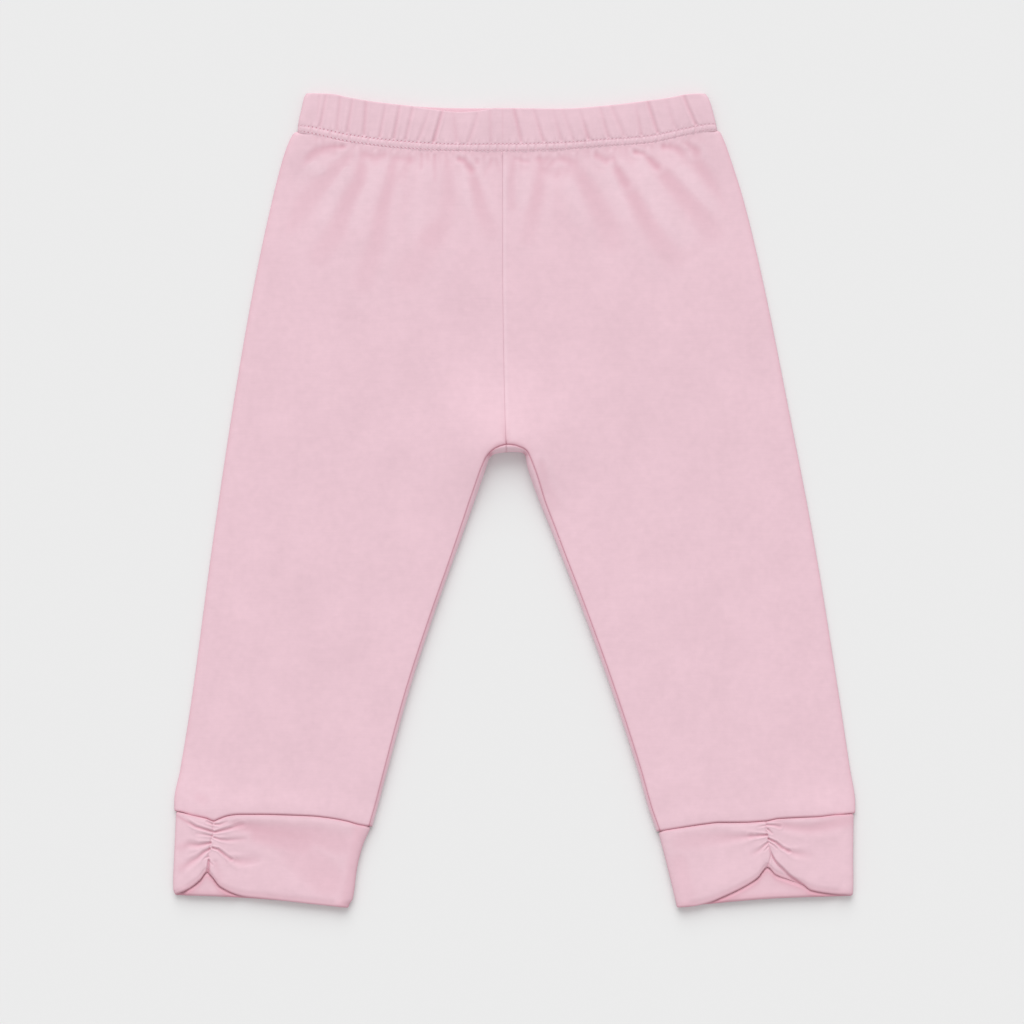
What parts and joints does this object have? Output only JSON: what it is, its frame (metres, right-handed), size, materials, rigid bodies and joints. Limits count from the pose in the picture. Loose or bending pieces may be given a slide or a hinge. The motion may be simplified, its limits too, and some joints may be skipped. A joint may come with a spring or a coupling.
{
  "type": "leggings",
  "caption": "Baby leggings in soft jersey laid flat, with an elastic waist casing and turned cuffs gathered up in front.",
  "frame": {"origin": "centre of the bounding box's bottom face, on the surface the garment lies on", "axes": "+X across the garment to its right as seen from the front, +Y up the garment to the waist, +Z off the surface, out of the front"},
  "size_m": [0.3411, 0.4072, 0.0061],
  "materials": {
    "leg_left": "soft cotton jersey, matt",
    "leg_right": "soft cotton jersey, matt",
    "waistband": "soft cotton jersey, matt",
    "cuff_left": "soft cotton jersey, matt",
    "cuff_right": "soft cotton jersey, matt"
  },
  "bodies": {
    "root": {"leg_left": "leg_left", "leg_right": "leg_right", "waistband": "waistband", "cuff_left": "cuff_left", "cuff_right": "cuff_right"}
  },
  "joints": []
}
